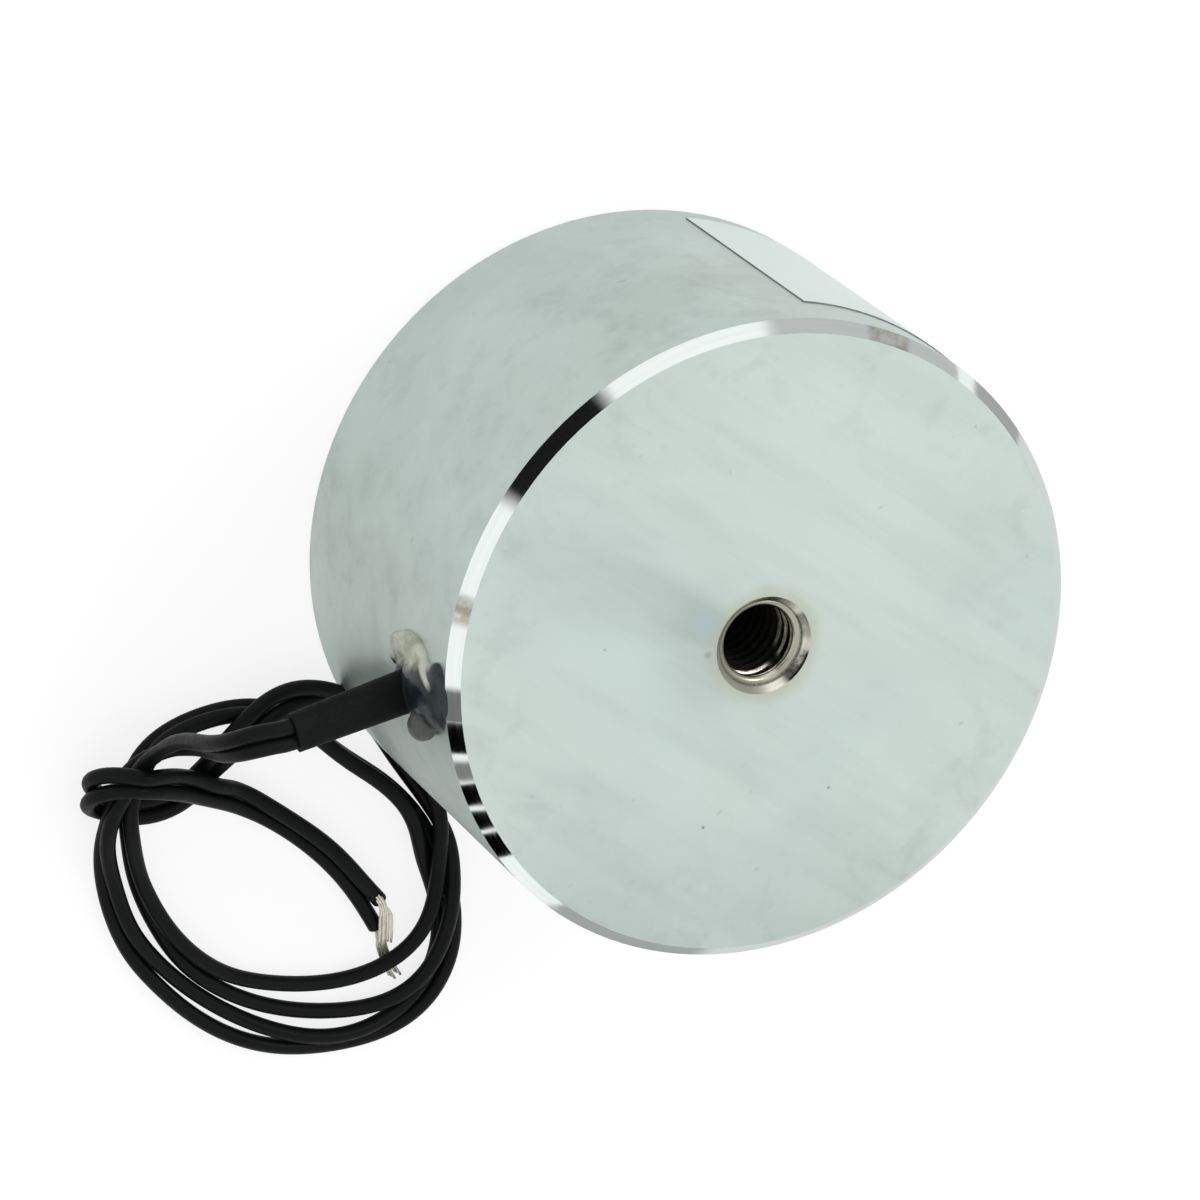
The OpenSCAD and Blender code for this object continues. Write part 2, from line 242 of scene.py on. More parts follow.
def tubes(name, paths, d, sides):
    """One mesh of round closed tubes of diameter d along paths, in millimetres."""
    verts, faces = [], []
    for path in paths:
        p = np.array(path, float)
        ahead, behind = p[-1] - p[-2], p[0] - p[1]
        lip = 0.08 * d
        # a narrower ring at each end rounds the cut edge
        p = np.vstack([p[0] + lip * behind / np.linalg.norm(behind), p,
                       p[-1] + lip * ahead / np.linalg.norm(ahead)])
        base, n = len(verts), len(p)
        for i, (u, v) in enumerate(frames(p)):
            r = d / 2 * (0.86 if i in (0, n - 1) else 1)
            for j in range(sides):
                a = 2 * math.pi * j / sides
                verts.append((p[i] + r * (math.cos(a) * u + math.sin(a) * v)) * MM)
        for i in range(n - 1):
            for j in range(sides):
                a, b = base + i * sides + j, base + i * sides + (j + 1) % sides
                faces.append((a, b, b + sides, a + sides))
        faces.append([base + j for j in reversed(range(sides))])
        faces.append([base + (n - 1) * sides + j for j in range(sides)])
    mesh = bpy.data.meshes.new(name)
    mesh.from_pydata([tuple(v) for v in verts], [], faces)
    for f in mesh.polygons:
        f.use_smooth = len(f.vertices) == 4
    return link(bpy.data.objects.new(name, mesh))


STEP = 0.6          # between the points that settle() moves
TUBE_STEPS = 420    # along each lead's tube
routes = [lead_route(k) for k in (0, 1)]
count = max(int(np.linalg.norm(np.diff(r, axis=0), axis=1).sum() / STEP) for r in routes)
settled = settle([through(r, count) for r in routes])
lines = [through(p[::2], TUBE_STEPS) for p in settled]
leads = []
for line, side in zip(lines, "ab"):
    lead = tubes("lead_" + side, [line], LEAD_D, 16)
    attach(lead, "root")
    leads.append(lead)
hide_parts("lead_drop_a", "lead_coil", "lead_tail_a")
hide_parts("lead_drop_b", "lead_tail_b")


# --- Bare ends -------------------------------------------------------------

# Where each bundle of strands bends and ends: x from the pot's side, y, z
STRAND_ENDS = [
    [[-3.2, 36.8, 0.4], [-4.4, 40.6, 0.3]],
    [[-3.35, 33.7, 1.85], [-3.25, 34.9, 1.75], [-3.3, 36.7, 0.9]],
]
STRAND_D, STRANDS = 0.25, 7
# Distance between neighbours where the strands lie flat, in strand diameters
SPREAD = (0.55, 0.75)


def strand_paths(k):
    """Strands from inside lead k's end, round at first and then flat side by side."""
    tip = settled[k][-1]
    ahead = tip - settled[k][-6]
    ahead /= np.linalg.norm(ahead)
    mids = [tip - 1.2 * ahead, tip + 0.4 * ahead]
    if k == 1:
        # lead b's strands leave through the top of its end and pass over lead a's
        mids = [tip - 1.3 * ahead + (0, 0, 0.2), tip - 0.2 * ahead + (0, 0, 0.75)]
    mids += [np.array(p) + (POT_R, 0, 0) for p in STRAND_ENDS[k]]
    steps = 24
    path = through(mids, steps)
    bundle = []
    for m in range(STRANDS):
        # six strands round one in the middle
        start = math.radians(60 * m + 20 * k)
        r = 0 if m == STRANDS - 1 else STRAND_D
        wide = (SPREAD[k] + 0.07 * math.sin(3.7 * m + k)) * STRAND_D * (m - STRANDS // 2)
        strand = []
        for i, (u, v) in enumerate(frames(path)):
            share = i / steps
            a = start + 0.8 * share
            q = (u * math.cos(a) + v * math.sin(a)) * r
            across = np.cross(np.cross(u, v), (0, 0, 1))
            across /= np.linalg.norm(across)
            flat = across * wide + np.array((0, 0, 0.07 * (-1) ** m))
            w = min(1.0, max(0.0, (share - 0.15) / 0.3))    # 0 round, 1 flat
            q = path[i] + q * (1 - w) + flat * w * (1 + 0.12 * share)
            q[2] = max(q[2], 0.14)    # lies on the floor
            strand.append(q)
        # the strands' ends aren't level
        bundle.append(strand[:steps + 1 - (5 * m + k) % 4])
    return bundle


strands = []
for k, side in enumerate("ab"):
    bundle = tubes("strands_bare_" + side, strand_paths(k), STRAND_D, 8)
    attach(bundle, "root")
    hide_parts("strands_" + side)
    strands.append(bundle)

for k in (0, 1):
    line = lines[k] * MM


# --- Glue round the sleeve's root ------------------------------------------

# Middle and half sizes of the lumps that run together; the last is the drop
LOBE = (30.8, 1.8, 29.0, 1.4, 1.45, 1.5)
LUMPS = [
    (30.1, -1.1, 28.6, 1.5, 3.2, 4.2), (29.8, -1.6, 31.3, 1.1, 3.3, 1.9),
    (29.8, -4.0, 25.7, 1.2, 1.5, 3.3), (29.8, -3.2, 23.2, 0.8, 1.4, 2.6),
    (29.9, -1.8, 21.7, 0.5, 0.9, 1.7), (30.0, 0.2, 23.8, 1.0, 2.8, 1.7),
    (30.3, -0.5, 26.9, 1.1, 2.7, 2.4), (29.9, 0.3, 29.4, 1.2, 1.7, 3.1),
    LOBE,
]
BEAD_INNER_R = 29.9    # just inside the pot's side


def glue_bead():
    """Hardened lumps of hot glue, run together and smoothed."""
    bm = bmesh.new()
    for *at, rx, ry, rz in LUMPS:
        place = Matrix.Translation(Vector(at)) @ Matrix.Diagonal((rx, ry, rz, 1))
        place = Matrix.Scale(MM, 4) @ place
        bmesh.ops.create_icosphere(bm, subdivisions=4, radius=1, matrix=place)
    mesh = bpy.data.meshes.new("glue")
    bm.to_mesh(mesh)
    bm.free()
    draft = link(bpy.data.objects.new("glue_draft", mesh))
    remesh = draft.modifiers.new("remesh", "REMESH")
    remesh.mode = "VOXEL"
    remesh.voxel_size = 0.12 * MM
    smooth = draft.modifiers.new("smooth", "SMOOTH")
    smooth.factor, smooth.iterations = 0.5, 40
    shaped = draft.evaluated_get(bpy.context.evaluated_depsgraph_get())
    solid = bpy.data.meshes.new_from_object(shaped)
    bpy.data.objects.remove(draft)
    solid.name = "glue_round_sleeve"
    for v in solid.vertices:
        # the back of the glue lies against the pot's side
        r = math.hypot(v.co.x, v.co.y)
        if r < BEAD_INNER_R * MM:
            v.co.x *= BEAD_INNER_R * MM / r
            v.co.y *= BEAD_INNER_R * MM / r
    solid.polygons.foreach_set("use_smooth", [True] * len(solid.polygons))
    obj = link(bpy.data.objects.new("glue_round_sleeve", solid))
    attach(obj, "root")
    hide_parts("glue_bead")
    return obj


bead = glue_bead()


# --- Materials -----------------------------------------------------------

class Nodes:
    """Short calls for a node tree."""

    def __init__(self, tree):
        self.tree = tree

    def add(self, kind, ins=None, **attrs):
        n = self.tree.nodes.new(kind)
        for k, v in attrs.items():
            setattr(n, k, v)
        for k, v in (ins or {}).items():
            self.feed(n.inputs[k], v)
        return n

    def feed(self, socket, v):
        if isinstance(v, bpy.types.NodeSocket):
            self.tree.links.new(v, socket)
        elif isinstance(v, tuple) and len(v) == 3 and len(socket.default_value) == 4:
            socket.default_value = (*v, 1)
        else:
            socket.default_value = v

    def math(self, op, a, b=0.0):
        n = self.add("ShaderNodeMath", operation=op)
        self.feed(n.inputs[0], a)
        self.feed(n.inputs[1], b)
        return n.outputs[0]

    def plus(self, a, b):
        return self.math("ADD", a, b)

    def minus(self, a, b):
        return self.math("SUBTRACT", a, b)

    def times(self, a, b):
        return self.math("MULTIPLY", a, b)

    def weighted(self, total, *parts):
        """A total plus each part times its weight."""
        for part, weight in parts:
            total = self.plus(total, self.times(part, weight))
        return total

    def between(self, value, low, high):
        """0 at low and 1 at high, smooth on the way."""
        n = self.add("ShaderNodeMapRange", {0: value, 1: low, 2: high},
                     interpolation_type="SMOOTHSTEP")
        return n.outputs[0]

    def about(self, value, at, outer, inner):
        """1 within inner of a value, 0 beyond outer."""
        return self.between(self.math("ABSOLUTE", self.minus(value, at)), outer, inner)

    def degrees(self, radians):
        return self.times(radians, 180 / math.pi)

    def seen_directly(self):
        """1 for rays that show the background: from the camera, and off metal or through glass."""
        path = self.add("ShaderNodeLightPath").outputs
        shine = self.math("MAXIMUM", path["Is Glossy Ray"], path["Is Transmission Ray"])
        return path["Is Camera Ray"], shine


class Look(Nodes):
    """A material and its node tree."""

    def __init__(self, name):
        self.mat = bpy.data.materials.new(name)
        self.mat.use_nodes = True
        super().__init__(self.mat.node_tree)
        self.shader = self.tree.nodes["Principled BSDF"]
        self.place = self.add("ShaderNodeTexCoord").outputs["Object"]

    def set(self, **values):
        """Sets shader sockets, named with underscores for spaces."""
        for k, v in values.items():
            self.feed(self.shader.inputs[k.replace("_", " ")], v)

    def scaled(self, x, y, z):
        """The place with each coordinate scaled."""
        ins = {"Vector": self.place, "Scale": (x, y, z)}
        return self.add("ShaderNodeMapping", ins).outputs[0]

    def along(self, turn, stretch):
        """The place drawn out in one direction on the face, in degrees."""
        ins = {"Vector": self.place, "Rotation": (0, 0, math.radians(turn)),
               "Scale": (stretch, 1, 1)}
        return self.add("ShaderNodeMapping", ins, vector_type="TEXTURE").outputs[0]

    def noise(self, scale, detail=3.0, rough=0.5, at=None, distortion=0.0):
        n = self.add("ShaderNodeTexNoise", {
            "Vector": at or self.place, "Scale": scale, "Detail": detail,
            "Roughness": rough, "Distortion": distortion})
        return n.outputs["Fac"]

    def coordinate(self, axis):
        """Object coordinate along an axis, in millimetres."""
        split = self.add("ShaderNodeSeparateXYZ", {0: self.place})
        return self.times(split.outputs[axis], 1000)

    def round_axis(self):
        """Distance from the pot's axis in millimetres, and direction about it in degrees."""
        x, y, _ = self.add("ShaderNodeSeparateXYZ", {0: self.place}).outputs
        r = self.math("SQRT", self.plus(self.times(x, x), self.times(y, y)))
        return self.times(r, 1000), self.degrees(self.math("ARCTAN2", y, x))

    def distance(self, point):
        """Distance from a point, both in millimetres."""
        ins = {0: self.place, 1: tuple(v * MM for v in point)}
        away = self.add("ShaderNodeVectorMath", ins, operation="DISTANCE")
        return self.times(away.outputs["Value"], 1000)

    def ramp(self, fac, stops):
        """Stops of (position, grey or colour)."""
        n = self.add("ShaderNodeValToRGB", {"Fac": fac})
        els = n.color_ramp.elements
        while len(els) < len(stops):
            els.new(0.5)
        for e, (pos, c) in zip(els, stops):
            e.position = pos
            e.color = (*c, 1) if isinstance(c, tuple) else (c, c, c, 1)
        return n.outputs["Color"]

    def mix(self, fac, a, b, kind="MIX"):
        n = self.add("ShaderNodeMix", data_type="RGBA", blend_type=kind)
        for i, v in ((0, fac), (6, a), (7, b)):
            self.feed(n.inputs[i], v)
        return n.outputs[2]

    def bump(self, height, strength, distance):
        n = self.add("ShaderNodeBump", {
            "Height": height, "Strength": strength, "Distance": distance})
        self.feed(self.shader.inputs["Normal"], n.outputs["Normal"])


# Middle, radius, colour and strength of the marks on the face
STAINS = [
    ((5.4, -3.3), 1.9, (0.46, 0.57, 0.62), 0.5),
    ((5.4, -0.45), 0.45, (0.3, 0.36, 0.37), 0.6),
    ((7.2, 16), 0.22, (0.2, 0.23, 0.22), 0.8),
    ((-5.2, 15.3), 0.2, (0.2, 0.23, 0.22), 0.8),
    ((15.1, -3.4), 0.22, (0.3, 0.34, 0.32), 0.6),
]
STREAKS_AT = -42    # direction of the streaks on the face, in degrees


def zinc_satin():
    """Satin zinc of the face and side: cloudy and streaked, with a painted dark reflection fan from
    the hole.
    """
    m = Look("zinc_satin")
    r, turn = m.round_axis()
    on_face = m.between(m.coordinate(2), POT_H - 0.1, POT_H - 0.05)
    cloud = m.noise(34, 5, 0.62, distortion=0.8)
    patch = m.noise(19, 2, 0.5, distortion=0.4)
    wide = m.noise(75, 4, 0.6, at=m.along(STREAKS_AT, 4.5), distortion=0.3)
    narrow = m.noise(330, 4, 0.6, at=m.along(STREAKS_AT, 8))
    fine = m.noise(1300, 3, 0.6)
    mottle = m.noise(210, 4, 0.65, distortion=0.6)

    # how dull the plate is, from 0 to 1
    bent = m.plus(turn, m.times(m.minus(wide, 0.5), 50))
    fan = m.times(m.about(bent, -36, 22, 5), m.between(r, 33, 10))
    near = m.times(m.about(turn, -8, 75, 15), m.between(r, 13.5, 6))
    foot = m.times(m.about(turn, 72, 60, 20), m.between(r, 14, 22))
    dull = m.weighted(
        0.03,
        (m.between(wide, 0.42, 0.66), 0.22),
        (m.between(narrow, 0.45, 0.68), 0.14),
        (m.between(cloud, 0.4, 0.66), 0.2),
        (m.times(m.between(mottle, 0.5, 0.68), m.between(r, 15, 27)), 0.22))
    # painted reflection: fan, near and foot darken the face by direction, as bands of a turned
    # finish
    painted_reflection_bands = m.weighted(m.times(fan, 0.42), (near, 0.5), (foot, 0.3))
    dull = m.plus(dull, m.times(painted_reflection_bands, on_face))
    tone = m.mix(dull, (0.675, 0.77, 0.72), (0.455, 0.525, 0.49))
    bluish = m.times(m.between(patch, 0.35, 0.65), 0.3)
    tone = m.mix(bluish, tone, (0.61, 0.725, 0.735))
    specks = m.ramp(m.noise(620, 2, 0.5), [(0.73, 0.0), (0.78, 0.4)])
    tone = m.mix(specks, tone, (0.42, 0.46, 0.44))
    # on the face: a warm bloom round the countersink, a bluish smear and smudges
    bloom = m.between(m.weighted(r, (mottle, 1.6)), 7.0, 5.3)
    tone = m.mix(m.times(bloom, 0.55), tone, (0.5, 0.53, 0.38))
    for (x, y), size, colour, share in STAINS:
        ragged = m.times(m.noise(500, 3, 0.6), size * 0.7)
        away = m.plus(m.distance((x, y, POT_H)), ragged)
        tone = m.mix(m.times(m.between(away, size * 1.5, size * 0.5), share), tone, colour)
    m.set(Base_Color=tone, Metallic=1.0)
    m.set(Roughness=m.ramp(m.noise(60, 4, 0.6), [(0.3, 0.36), (0.7, 0.48)]))
    m.bump(m.weighted(m.times(fine, 0.35), (cloud, 0.65)), 0.1, 0.0004)
    return m.mat


# Direction and half width of the brownish worn places on the chamfer, in degrees
WORN = [(-20, 2.5), (-119, 4)]


def zinc_bright():
    """Turned chamfer with a mirror plate."""
    m = Look("zinc_bright")
    line = m.noise(700, 2, 0.5, at=m.scaled(0.1, 0.1, 4))
    tone = m.ramp(line, [(0.3, (0.84, 0.91, 0.89)), (0.7, (0.91, 0.97, 0.95))])
    _, turn = m.round_axis()
    blot = m.noise(600, 3, 0.6)
    for at, half in WORN:
        worn = m.about(turn, at, half + 1, half - 1)
        share = m.times(worn, m.ramp(blot, [(0.4, 0.25), (0.6, 0.8)]))
        tone = m.mix(share, tone, (0.42, 0.38, 0.28))
    m.set(Base_Color=tone, Metallic=1.0)
    m.set(Roughness=m.ramp(line, [(0.3, 0.03), (0.7, 0.07)]))
    m.bump(m.noise(260, 2, 0.5), 0.03, 0.0003)
    return m.mat


# Painted reflection on the countersink's plate: how bright it is by direction, in degrees, with a
# painted glint near 100
CUT_PAINTED_REFLECTION = [
    (-180, 0.76), (-135, 0.66), (-91, 0.56), (-57, 0.45), (-7, 0.42), (20, 0.42), (62, 0.46),
    (86, 0.62), (97, 1), (110, 0.97), (118, 0.62), (160, 0.72), (180, 0.76),
]


def cut_nickel():
    """Countersink cut through the plate: warm, with painted reflection by direction that includes
    one painted glint, and one dark patch.
    """
    m = Look("cut_nickel")
    r, turn = m.round_axis()
    line = m.noise(2600, 2, 0.5, at=m.scaled(0.06, 0.06, 1))
    blot = m.noise(420, 3, 0.6)
    grit = m.noise(3200, 2, 0.6)
    # painted reflection and a painted glint, by direction round the hole
    level = m.ramp(m.plus(m.math("DIVIDE", turn, 360), 0.5),
                   [((a + 180) / 360, (v, v * 0.99, v * 0.85)) for a, v in CUT_PAINTED_REFLECTION])
    fine = m.ramp(line, [(0.35, 0.78), (0.6, 1.0)])
    tone = m.mix(1.0, level, fine, "MULTIPLY")
    tone = m.mix(m.ramp(blot, [(0.5, 0.0), (0.75, 0.16)]), tone, (0.33, 0.33, 0.26))
    # a dark line painted at the cone's foot, as shade in the corner, and painted shade below it,
    # inside the hole
    tone = m.mix(m.times(m.about(r, THREAD_R, 0.1, 0.03), 0.6), tone, (0.16, 0.16, 0.12))
    painted_hole_shade = m.between(r, THREAD_R + 0.05, THREAD_R - 0.05)
    tone = m.mix(m.times(painted_hole_shade, 0.45), tone, (0.2, 0.2, 0.14))
    # a dark patch, darkest at its outer edge
    rough = m.times(m.between(turn, 117, 123), m.between(turn, 162, 154))
    inner = m.times(rough, m.between(r, THREAD_R, THREAD_R + 0.14))
    inner = m.times(inner, m.ramp(grit, [(0.42, 0.9), (0.6, 0.35)]))
    tone = m.mix(inner, tone, (0.09, 0.09, 0.075))
    outer = m.times(rough, m.between(r, THREAD_R + 0.36, THREAD_R + 0.5))
    tone = m.mix(outer, tone, (0.02, 0.02, 0.018))
    m.set(Base_Color=tone, Metallic=1.0)
    matt = m.about(turn, -15, 95, 50)
    m.set(Roughness=m.weighted(m.ramp(blot, [(0.3, 0.16), (0.7, 0.28)]), (matt, 0.3)))
    m.bump(line, 0.1, 0.0001)
    return m.mat


def thread_metal():
    """Thread: plated near the mouth and kept plated further down by painted light on the lit side
    and the far side, with painted glints on the lit side; painted shade makes it dark and dull
    below.
    """
    m = Look("thread_metal")
    _, turn = m.round_axis()
    grit = m.noise(1700, 3, 0.6)
    # painted light: the side of the hole that light reaches, and the far side, stay plated and lit
    # further down
    painted_lit_side = m.times(m.between(turn, 30, 60), m.between(turn, 125, 105))
    far = m.between(m.math("ABSOLUTE", turn), 122, 150)
    # painted shade on the unlit side, painted glints on the lit side, and near black painted shade
    # deep in the hole
    dull = m.ramp(grit, [(0.3, (0.07, 0.07, 0.045)), (0.7, (0.2, 0.2, 0.14))])
    painted_glint = m.ramp(grit, [(0.35, (0.36, 0.32, 0.24)), (0.65, (0.8, 0.76, 0.66))])
    painted_deep_shade = m.ramp(grit, [(0.3, (0.008, 0.008, 0.007)), (0.7, (0.02, 0.019, 0.016))])
    z = m.weighted(m.plus(m.coordinate(2), painted_lit_side), (m.noise(300, 2, 0.5), 1.2), (far, 2.4))
    plated_and_lit = m.between(z, POT_H - 2.2, POT_H - 0.8)
    m.set(Base_Color=m.mix(plated_and_lit, painted_deep_shade, m.mix(painted_lit_side, dull, painted_glint)))
    m.set(Metallic=plated_and_lit, Specular_IOR_Level=0.04)
    matt = m.ramp(grit, [(0.3, 0.54), (0.7, 0.66)])
    m.set(Roughness=m.minus(matt, m.times(plated_and_lit, 0.4)))
    m.bump(grit, 0.15, 0.0002)
    return m.mat


def black_lead():
    """Smooth silicone-soft insulation, near black."""
    m = Look("lead_black")
    fine = m.noise(1500, 3, 0.6)
    wide = m.noise(110, 2, 0.5)
    m.set(Base_Color=m.ramp(wide, [(0.3, (0.0035, 0.004, 0.0042)), (0.7, (0.007, 0.0075, 0.0075))]))
    m.set(Roughness=m.ramp(fine, [(0.35, 0.32), (0.65, 0.44)]), Specular_IOR_Level=0.1)
    m.bump(fine, 0.1, 0.0001)
    return m.mat


def black_sleeve():
    """Matt shrink sleeve."""
    m = Look("sleeve_black")
    fine = m.noise(1700, 3, 0.6)
    wide = m.noise(200, 3, 0.5)
    m.set(Base_Color=m.ramp(wide, [(0.3, (0.003, 0.0038, 0.0038)), (0.7, (0.006, 0.0072, 0.007))]))
    m.set(Roughness=m.ramp(fine, [(0.35, 0.5), (0.65, 0.68)]), Specular_IOR_Level=0.12)
    m.bump(fine, 0.2, 0.00015)
    return m.mat


def hot_glue():
    """Glue that is milky at its thin end; in the middle its colour is painted near black, as
    painted shade of the dark sleeve seen through it.
    """
    m = Look("hot_glue")
    swirl = m.noise(260, 3, 0.5, distortion=1.2)
    fine = m.noise(900, 3, 0.6)
    y, z = m.coordinate(1), m.coordinate(2)
    # painted shade: dark where the sleeve shows through the glue
    clear = m.ramp(swirl, [
        (0.35, (0.01, 0.017, 0.021)), (0.55, (0.024, 0.036, 0.037)), (0.75, (0.05, 0.065, 0.065))])
    milk = m.ramp(fine, [
        (0.3, (0.38, 0.41, 0.31)), (0.55, (0.56, 0.6, 0.46)), (0.75, (0.68, 0.73, 0.58))])
    wander = m.times(m.minus(m.noise(420, 3, 0.6), 0.5), 3.0)
    edge = m.weighted(m.plus(y, wander), (m.minus(z, 27.5), 0.3))
    pale = m.times(m.between(edge, -2.9, -4.0), m.between(z, 31.3, 30.3))
    tone = m.mix(pale, clear, milk)
    # the drop is grey
    tone = m.mix(m.between(m.distance(LOBE[:3]), 1.9, 1.2), tone, (0.115, 0.13, 0.112))
    # a pale thread of glue runs down one side: its middle, and its direction (0.526, 0.85)
    y, z = m.plus(y, 5.3), m.minus(z, 27.6)
    along = m.plus(m.times(y, 0.526), m.times(z, 0.85))
    aside = m.math("ABSOLUTE", m.minus(m.times(y, 0.85), m.times(z, 0.526)))
    aside = m.weighted(aside, (fine, 0.25))
    thread = m.times(m.between(aside, 0.55, 0.25), m.about(along, 2.3, 2.9, 1.6))
    tone = m.mix(m.times(thread, 0.85), tone, (0.74, 0.78, 0.68))
    m.set(Base_Color=tone, Transmission_Weight=0.15, IOR=1.46, Specular_IOR_Level=0.35)
    m.set(Roughness=m.ramp(swirl, [(0.3, 0.16), (0.7, 0.3)]))
    m.bump(m.weighted(swirl, (fine, 0.4)), 0.3, 0.0004)
    return m.mat


def label_clear():
    """Clear film over the plate: a little whiter and glossier than bare zinc."""
    m = Look("label_clear")
    haze = m.noise(70, 3, 0.5)
    m.set(Base_Color=m.ramp(haze, [(0.3, (0.78, 0.9, 0.86)), (0.7, (0.83, 0.93, 0.9))]))
    m.set(Metallic=0.85, Roughness=m.ramp(haze, [(0.3, 0.3), (0.7, 0.38)]))
    m.set(Coat_Weight=0.3, Coat_Roughness=0.2)
    return m.mat


def label_edge():
    """Painted shadow along the film's cut edge."""
    m = Look("label_edge")
    edge_shadow = m.noise(500, 3, 0.6)
    # painted shadow of the film's edge
    m.set(Base_Color=m.ramp(edge_shadow, [(0.3, (0.13, 0.15, 0.15)), (0.7, (0.24, 0.27, 0.26))]))
    m.set(Roughness=m.ramp(edge_shadow, [(0.3, 0.4), (0.7, 0.6)]))
    return m.mat


def tinned():
    """Warm, slightly dull tinned copper."""
    m = Look("tinned")
    n = m.noise(2500, 2, 0.5)
    m.set(Base_Color=m.ramp(n, [(0.3, (0.66, 0.64, 0.52)), (0.7, (0.84, 0.82, 0.7))]))
    m.set(Metallic=0.6, Roughness=m.ramp(n, [(0.3, 0.35), (0.7, 0.5)]))
    return m.mat


def plastic(name, dark, light, rough, scale=400):
    """Plain surface between two colours, for the hidden pieces."""
    m = Look(name)
    n = m.noise(scale, 3, 0.55)
    m.set(Base_Color=m.ramp(n, [(0.3, dark), (0.7, light)]))
    m.set(Roughness=m.ramp(n, [(0.3, rough - 0.05), (0.7, rough + 0.08)]))
    m.bump(n, 0.1, 0.0002)
    return m.mat


ZINC, BRIGHT, NICKEL, THREAD = zinc_satin(), zinc_bright(), cut_nickel(), thread_metal()
LEAD, SLEEVE, GLUE = black_lead(), black_sleeve(), hot_glue()
LABEL, EDGE, TINNED = label_clear(), label_edge(), tinned()
RESIN = plastic("resin", (0.018, 0.019, 0.021), (0.03, 0.031, 0.034), 0.3, 150)
NYLON = plastic("nylon", (0.74, 0.7, 0.6), (0.82, 0.79, 0.7), 0.5)
TAPE = plastic("tape", (0.6, 0.46, 0.12), (0.68, 0.54, 0.18), 0.3)
SLEEVING = plastic("joint_sleeving", (0.2, 0.02, 0.02), (0.28, 0.03, 0.03), 0.5)
COPPER = plastic("enamelled_wire", (0.3, 0.09, 0.03), (0.42, 0.14, 0.05), 0.3, 1200)


def dress(obj, *mats):
    obj.data.materials.clear()
    for m in mats:
        obj.data.materials.append(m)


for name, mat in {
    "bobbin": NYLON, "winding": COPPER, "winding_tape": TAPE, "potting_ring": RESIN,
    "wire_end_a": COPPER, "wire_end_b": COPPER, "solder_joint_a": TINNED,
    "solder_joint_b": TINNED, "joint_sleeve_a": SLEEVING, "joint_sleeve_b": SLEEVING,
    "lead_run_a": LEAD, "lead_run_b": LEAD, "exit_sleeve": SLEEVE,
}.items():
    dress(NODES[name], mat)
for obj in leads:
    dress(obj, LEAD)
for obj in strands:
    dress(obj, TINNED)
dress(bead, GLUE)

# The pot: bright chamfer, warm countersink, dark bore, satin elsewhere
CHAMFER_FACE, CUT_FACE, BORE_FACE = 1, 2, 3
HOLE_REACH, CHAMFER_FROM = 5, 28              # radii
BORE_FROM, COUNTERSINK_FROM = 10, 30          # heights
pot = NODES["pot_body"]
dress(pot, ZINC, BRIGHT, NICKEL, THREAD)
for face in pot.data.polygons:
    r = math.hypot(face.center.x, face.center.y) / MM
    z = face.center.z / MM
    slanted = 0.3 < face.normal.z < 0.95
    if r < HOLE_REACH and BORE_FROM < z < POT_H - 0.02:
        face.material_index = CUT_FACE if slanted and z > COUNTERSINK_FROM else BORE_FACE
    elif slanted and r > CHAMFER_FROM:
        face.material_index = CHAMFER_FACE

# The label's film is clear and only its thin edges are dark, with painted shadow
label = NODES["label_film"]
dress(label, LABEL, EDGE)
for face in label.data.polygons:
    outward = Vector((face.center.x, face.center.y, 0)).normalized()
    face.material_index = 0 if abs(face.normal @ outward) > 0.7 else 1


# --- Thread in the tapped hole --------------------------------------------

def sweep(bm, section, count, per, drop, closed):
    """Turns a closed section of (radius, height) round the hole, drop lower each turn."""
    rings = []
    for i in range(count):
        a = 2 * math.pi * i / per
        rings.append([
            bm.verts.new((r * math.cos(a) * MM, r * math.sin(a) * MM, (z - drop * i / per) * MM))
            for r, z in section])
    for p, q in zip(rings, rings[1:] + rings[:1] if closed else rings[1:]):
        for j in range(len(section)):
            k = (j + 1) % len(section)
            bm.faces.new((p[j], q[j], q[k], p[k]))
    if not closed:
        bm.faces.new(rings[0][::-1])
        bm.faces.new(rings[-1])


def make_thread():
    """Cone that the countersink leaves on the first crest, and the turns below it."""
    r_out, r_in, pitch = THREAD_R - 0.01, 3.38, 1.25
    per, turns = 64, 9.5    # steps round the hole, turns of thread
    mouth = POT_H - MOUTH_CHAMFER - 0.01
    crest = mouth - (r_out - r_in)
    cone = [(r_out, mouth), (r_in, crest), (r_in - 0.02, crest - 0.06), (r_in, crest - 0.14),
            (r_out, crest - 0.6)]
    half = 0.49 * pitch
    turn = [(r_out, half), (r_in + 0.04, 0.13), (r_in, 0.08), (r_in, -0.08),
            (r_in + 0.04, -0.13), (r_out, -half)]
    start = crest - 0.12
    bm = bmesh.new()
    sweep(bm, cone, per, per, 0, True)
    sweep(bm, [(r, start + z) for r, z in turn], int(per * turns), per, pitch, False)
    bmesh.ops.recalc_face_normals(bm, faces=bm.faces)
    mesh = bpy.data.meshes.new("hole_thread")
    bm.to_mesh(mesh)
    bm.free()
    obj = link(bpy.data.objects.new("hole_thread", mesh))
    dress(obj, NICKEL, THREAD)
    # faces come step by step, and each step goes round the section from its first edge
    cone_faces = len(cone) * per
    for f in mesh.polygons:
        on_cone = f.index < cone_faces
        sides = len(cone) if on_cone else len(turn)
        side = (f.index if on_cone else f.index - cone_faces) % sides
        f.use_smooth = side != sides - 1 and len(f.vertices) == 4
        f.material_index = 0 if on_cone and side == 0 else 1
    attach(obj, "root")


make_thread()


# --- Floor, light and background ------------------------------------------

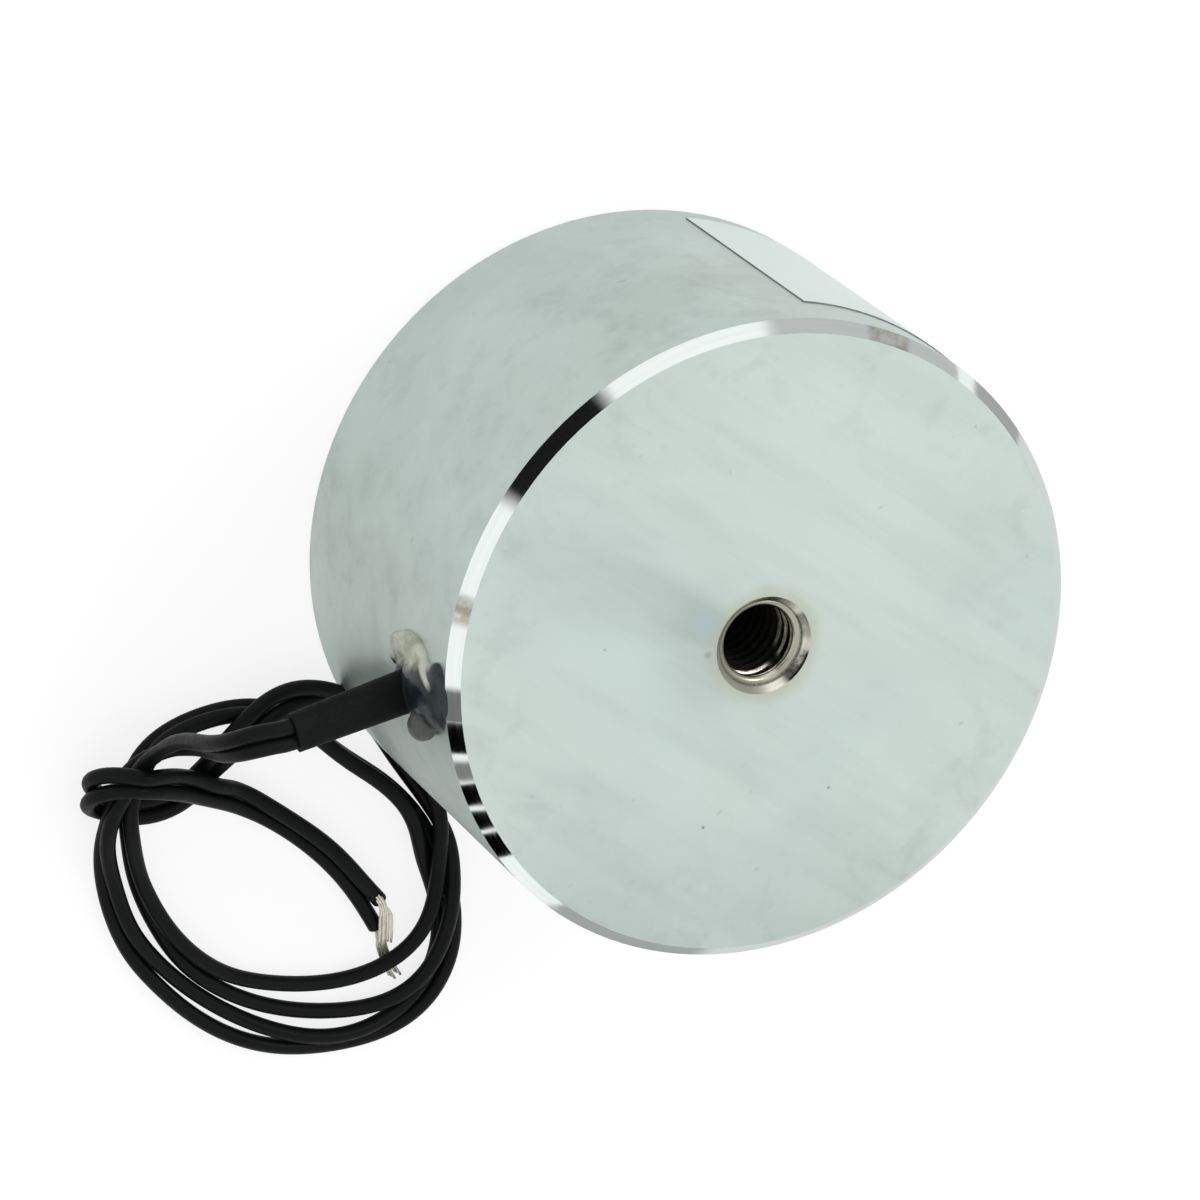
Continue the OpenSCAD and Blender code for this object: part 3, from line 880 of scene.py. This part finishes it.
def floor():
    """Pale floor that keeps the shadow; metal sees it white near the part and darker round that."""
    s = 3.0
    mesh = bpy.data.meshes.new("floor")
    mesh.from_pydata([(-s, -s, 0), (s, -s, 0), (s, s, 0), (-s, s, 0)], [], [(0, 1, 2, 3)])
    obj = link(bpy.data.objects.new("floor", mesh))
    obj.location.z = -0.00005
    m = Look("floor")
    m.set(Base_Color=(0.72, 0.72, 0.72), Roughness=0.8, Specular_IOR_Level=0.1)
    camera_ray, shine = m.seen_directly()
    away = m.distance((-50, -40, 0))
    out = m.between(away, 155, 168)
    dim = m.times(m.times(out, m.between(away, 650, 500)), shine)
    # how much of the floor glows, and how strongly
    share = m.plus(m.times(camera_ray, 0.7), m.times(shine, m.weighted(0.5, (out, 0.45))))
    ins = {0: m.place, 1: (-0.656, 0.755, 0.0)}
    behind = m.add("ShaderNodeVectorMath", ins, operation="DOT_PRODUCT").outputs["Value"]
    behind = m.times(m.between(behind, 0.03, 0.05), m.times(shine, m.minus(1.0, out)))
    strength = m.weighted(0.95, (camera_ray, 0.21), (dim, -0.58), (behind, -0.3))
    glow = m.add("ShaderNodeEmission", {"Color": (1, 1, 1, 1), "Strength": strength})
    mix = m.add("ShaderNodeMixShader", {0: share, 1: m.shader.outputs[0], 2: glow.outputs[0]})
    m.feed(m.tree.nodes["Material Output"].inputs["Surface"], mix.outputs[0])
    dress(obj, m.mat)


floor()


# Dark patches of the room, which the chamfer mirrors, in degrees: direction, half width,
# height, half height, softness; then depth
FLAGS = [
    (-54.5, 19.5, 30, 7, 4, 0.99), (-146, 25, 9, 14, 3, 0.45), (-4, 2.5, 26, 5, 1, 0.3),
    (22.5, 4.5, 19, 6, 1, 0.82), (31, 3.2, 16, 7, 0.5, 1), (38.5, 2.4, 13, 7, 1, 0.78),
    (44.5, 2.8, 11, 8, 0.4, 1), (51, 2.4, 9, 8, 0.4, 1), (57.5, 3.2, 6, 8, 0.4, 1),
]


def studio():
    """Soft white surroundings with a few dark patches, plain white for the camera."""
    world = bpy.data.worlds.new("studio")
    bpy.context.scene.world = world
    world.use_nodes = True
    m = Nodes(world.node_tree)
    way = m.add("ShaderNodeTexCoord").outputs["Generated"]
    x, y, z = m.add("ShaderNodeSeparateXYZ", {0: way}).outputs
    turn = m.degrees(m.math("ARCTAN2", y, x))
    rise = m.degrees(m.math("ARCSINE", z))
    level = m.weighted(0.85, (m.between(rise, 48, 40), 0.12))
    for at, half, height, half_height, soft, depth in FLAGS:
        inside = m.times(m.about(turn, at, half + soft, half - soft),
                         m.about(rise, height, half_height + soft, half_height - soft))
        level = m.times(level, m.minus(1.0, m.times(inside, depth)))
    camera_ray, _ = m.seen_directly()
    back = m.tree.nodes["Background"]
    back.inputs["Color"].default_value = (1, 1, 1, 1)
    m.feed(back.inputs["Strength"], m.math("MAXIMUM", level, camera_ray))


studio()


def lamp(name, azimuth, elevation, distance, size, power):
    """Square lamp that points at the origin."""
    data = bpy.data.lights.new(name, "AREA")
    data.size = size
    data.energy = power
    obj = link(bpy.data.objects.new(name, data))
    a, e = math.radians(azimuth), math.radians(elevation)
    way = Vector((math.cos(a) * math.cos(e), math.sin(a) * math.cos(e), math.sin(e)))
    obj.location = way * distance
    obj.rotation_euler = way.to_track_quat("Z", "Y").to_euler()


lamp("key", -145, 50, 1.2, 0.5, 3)
bpy.context.scene.view_settings.view_transform = "Standard"
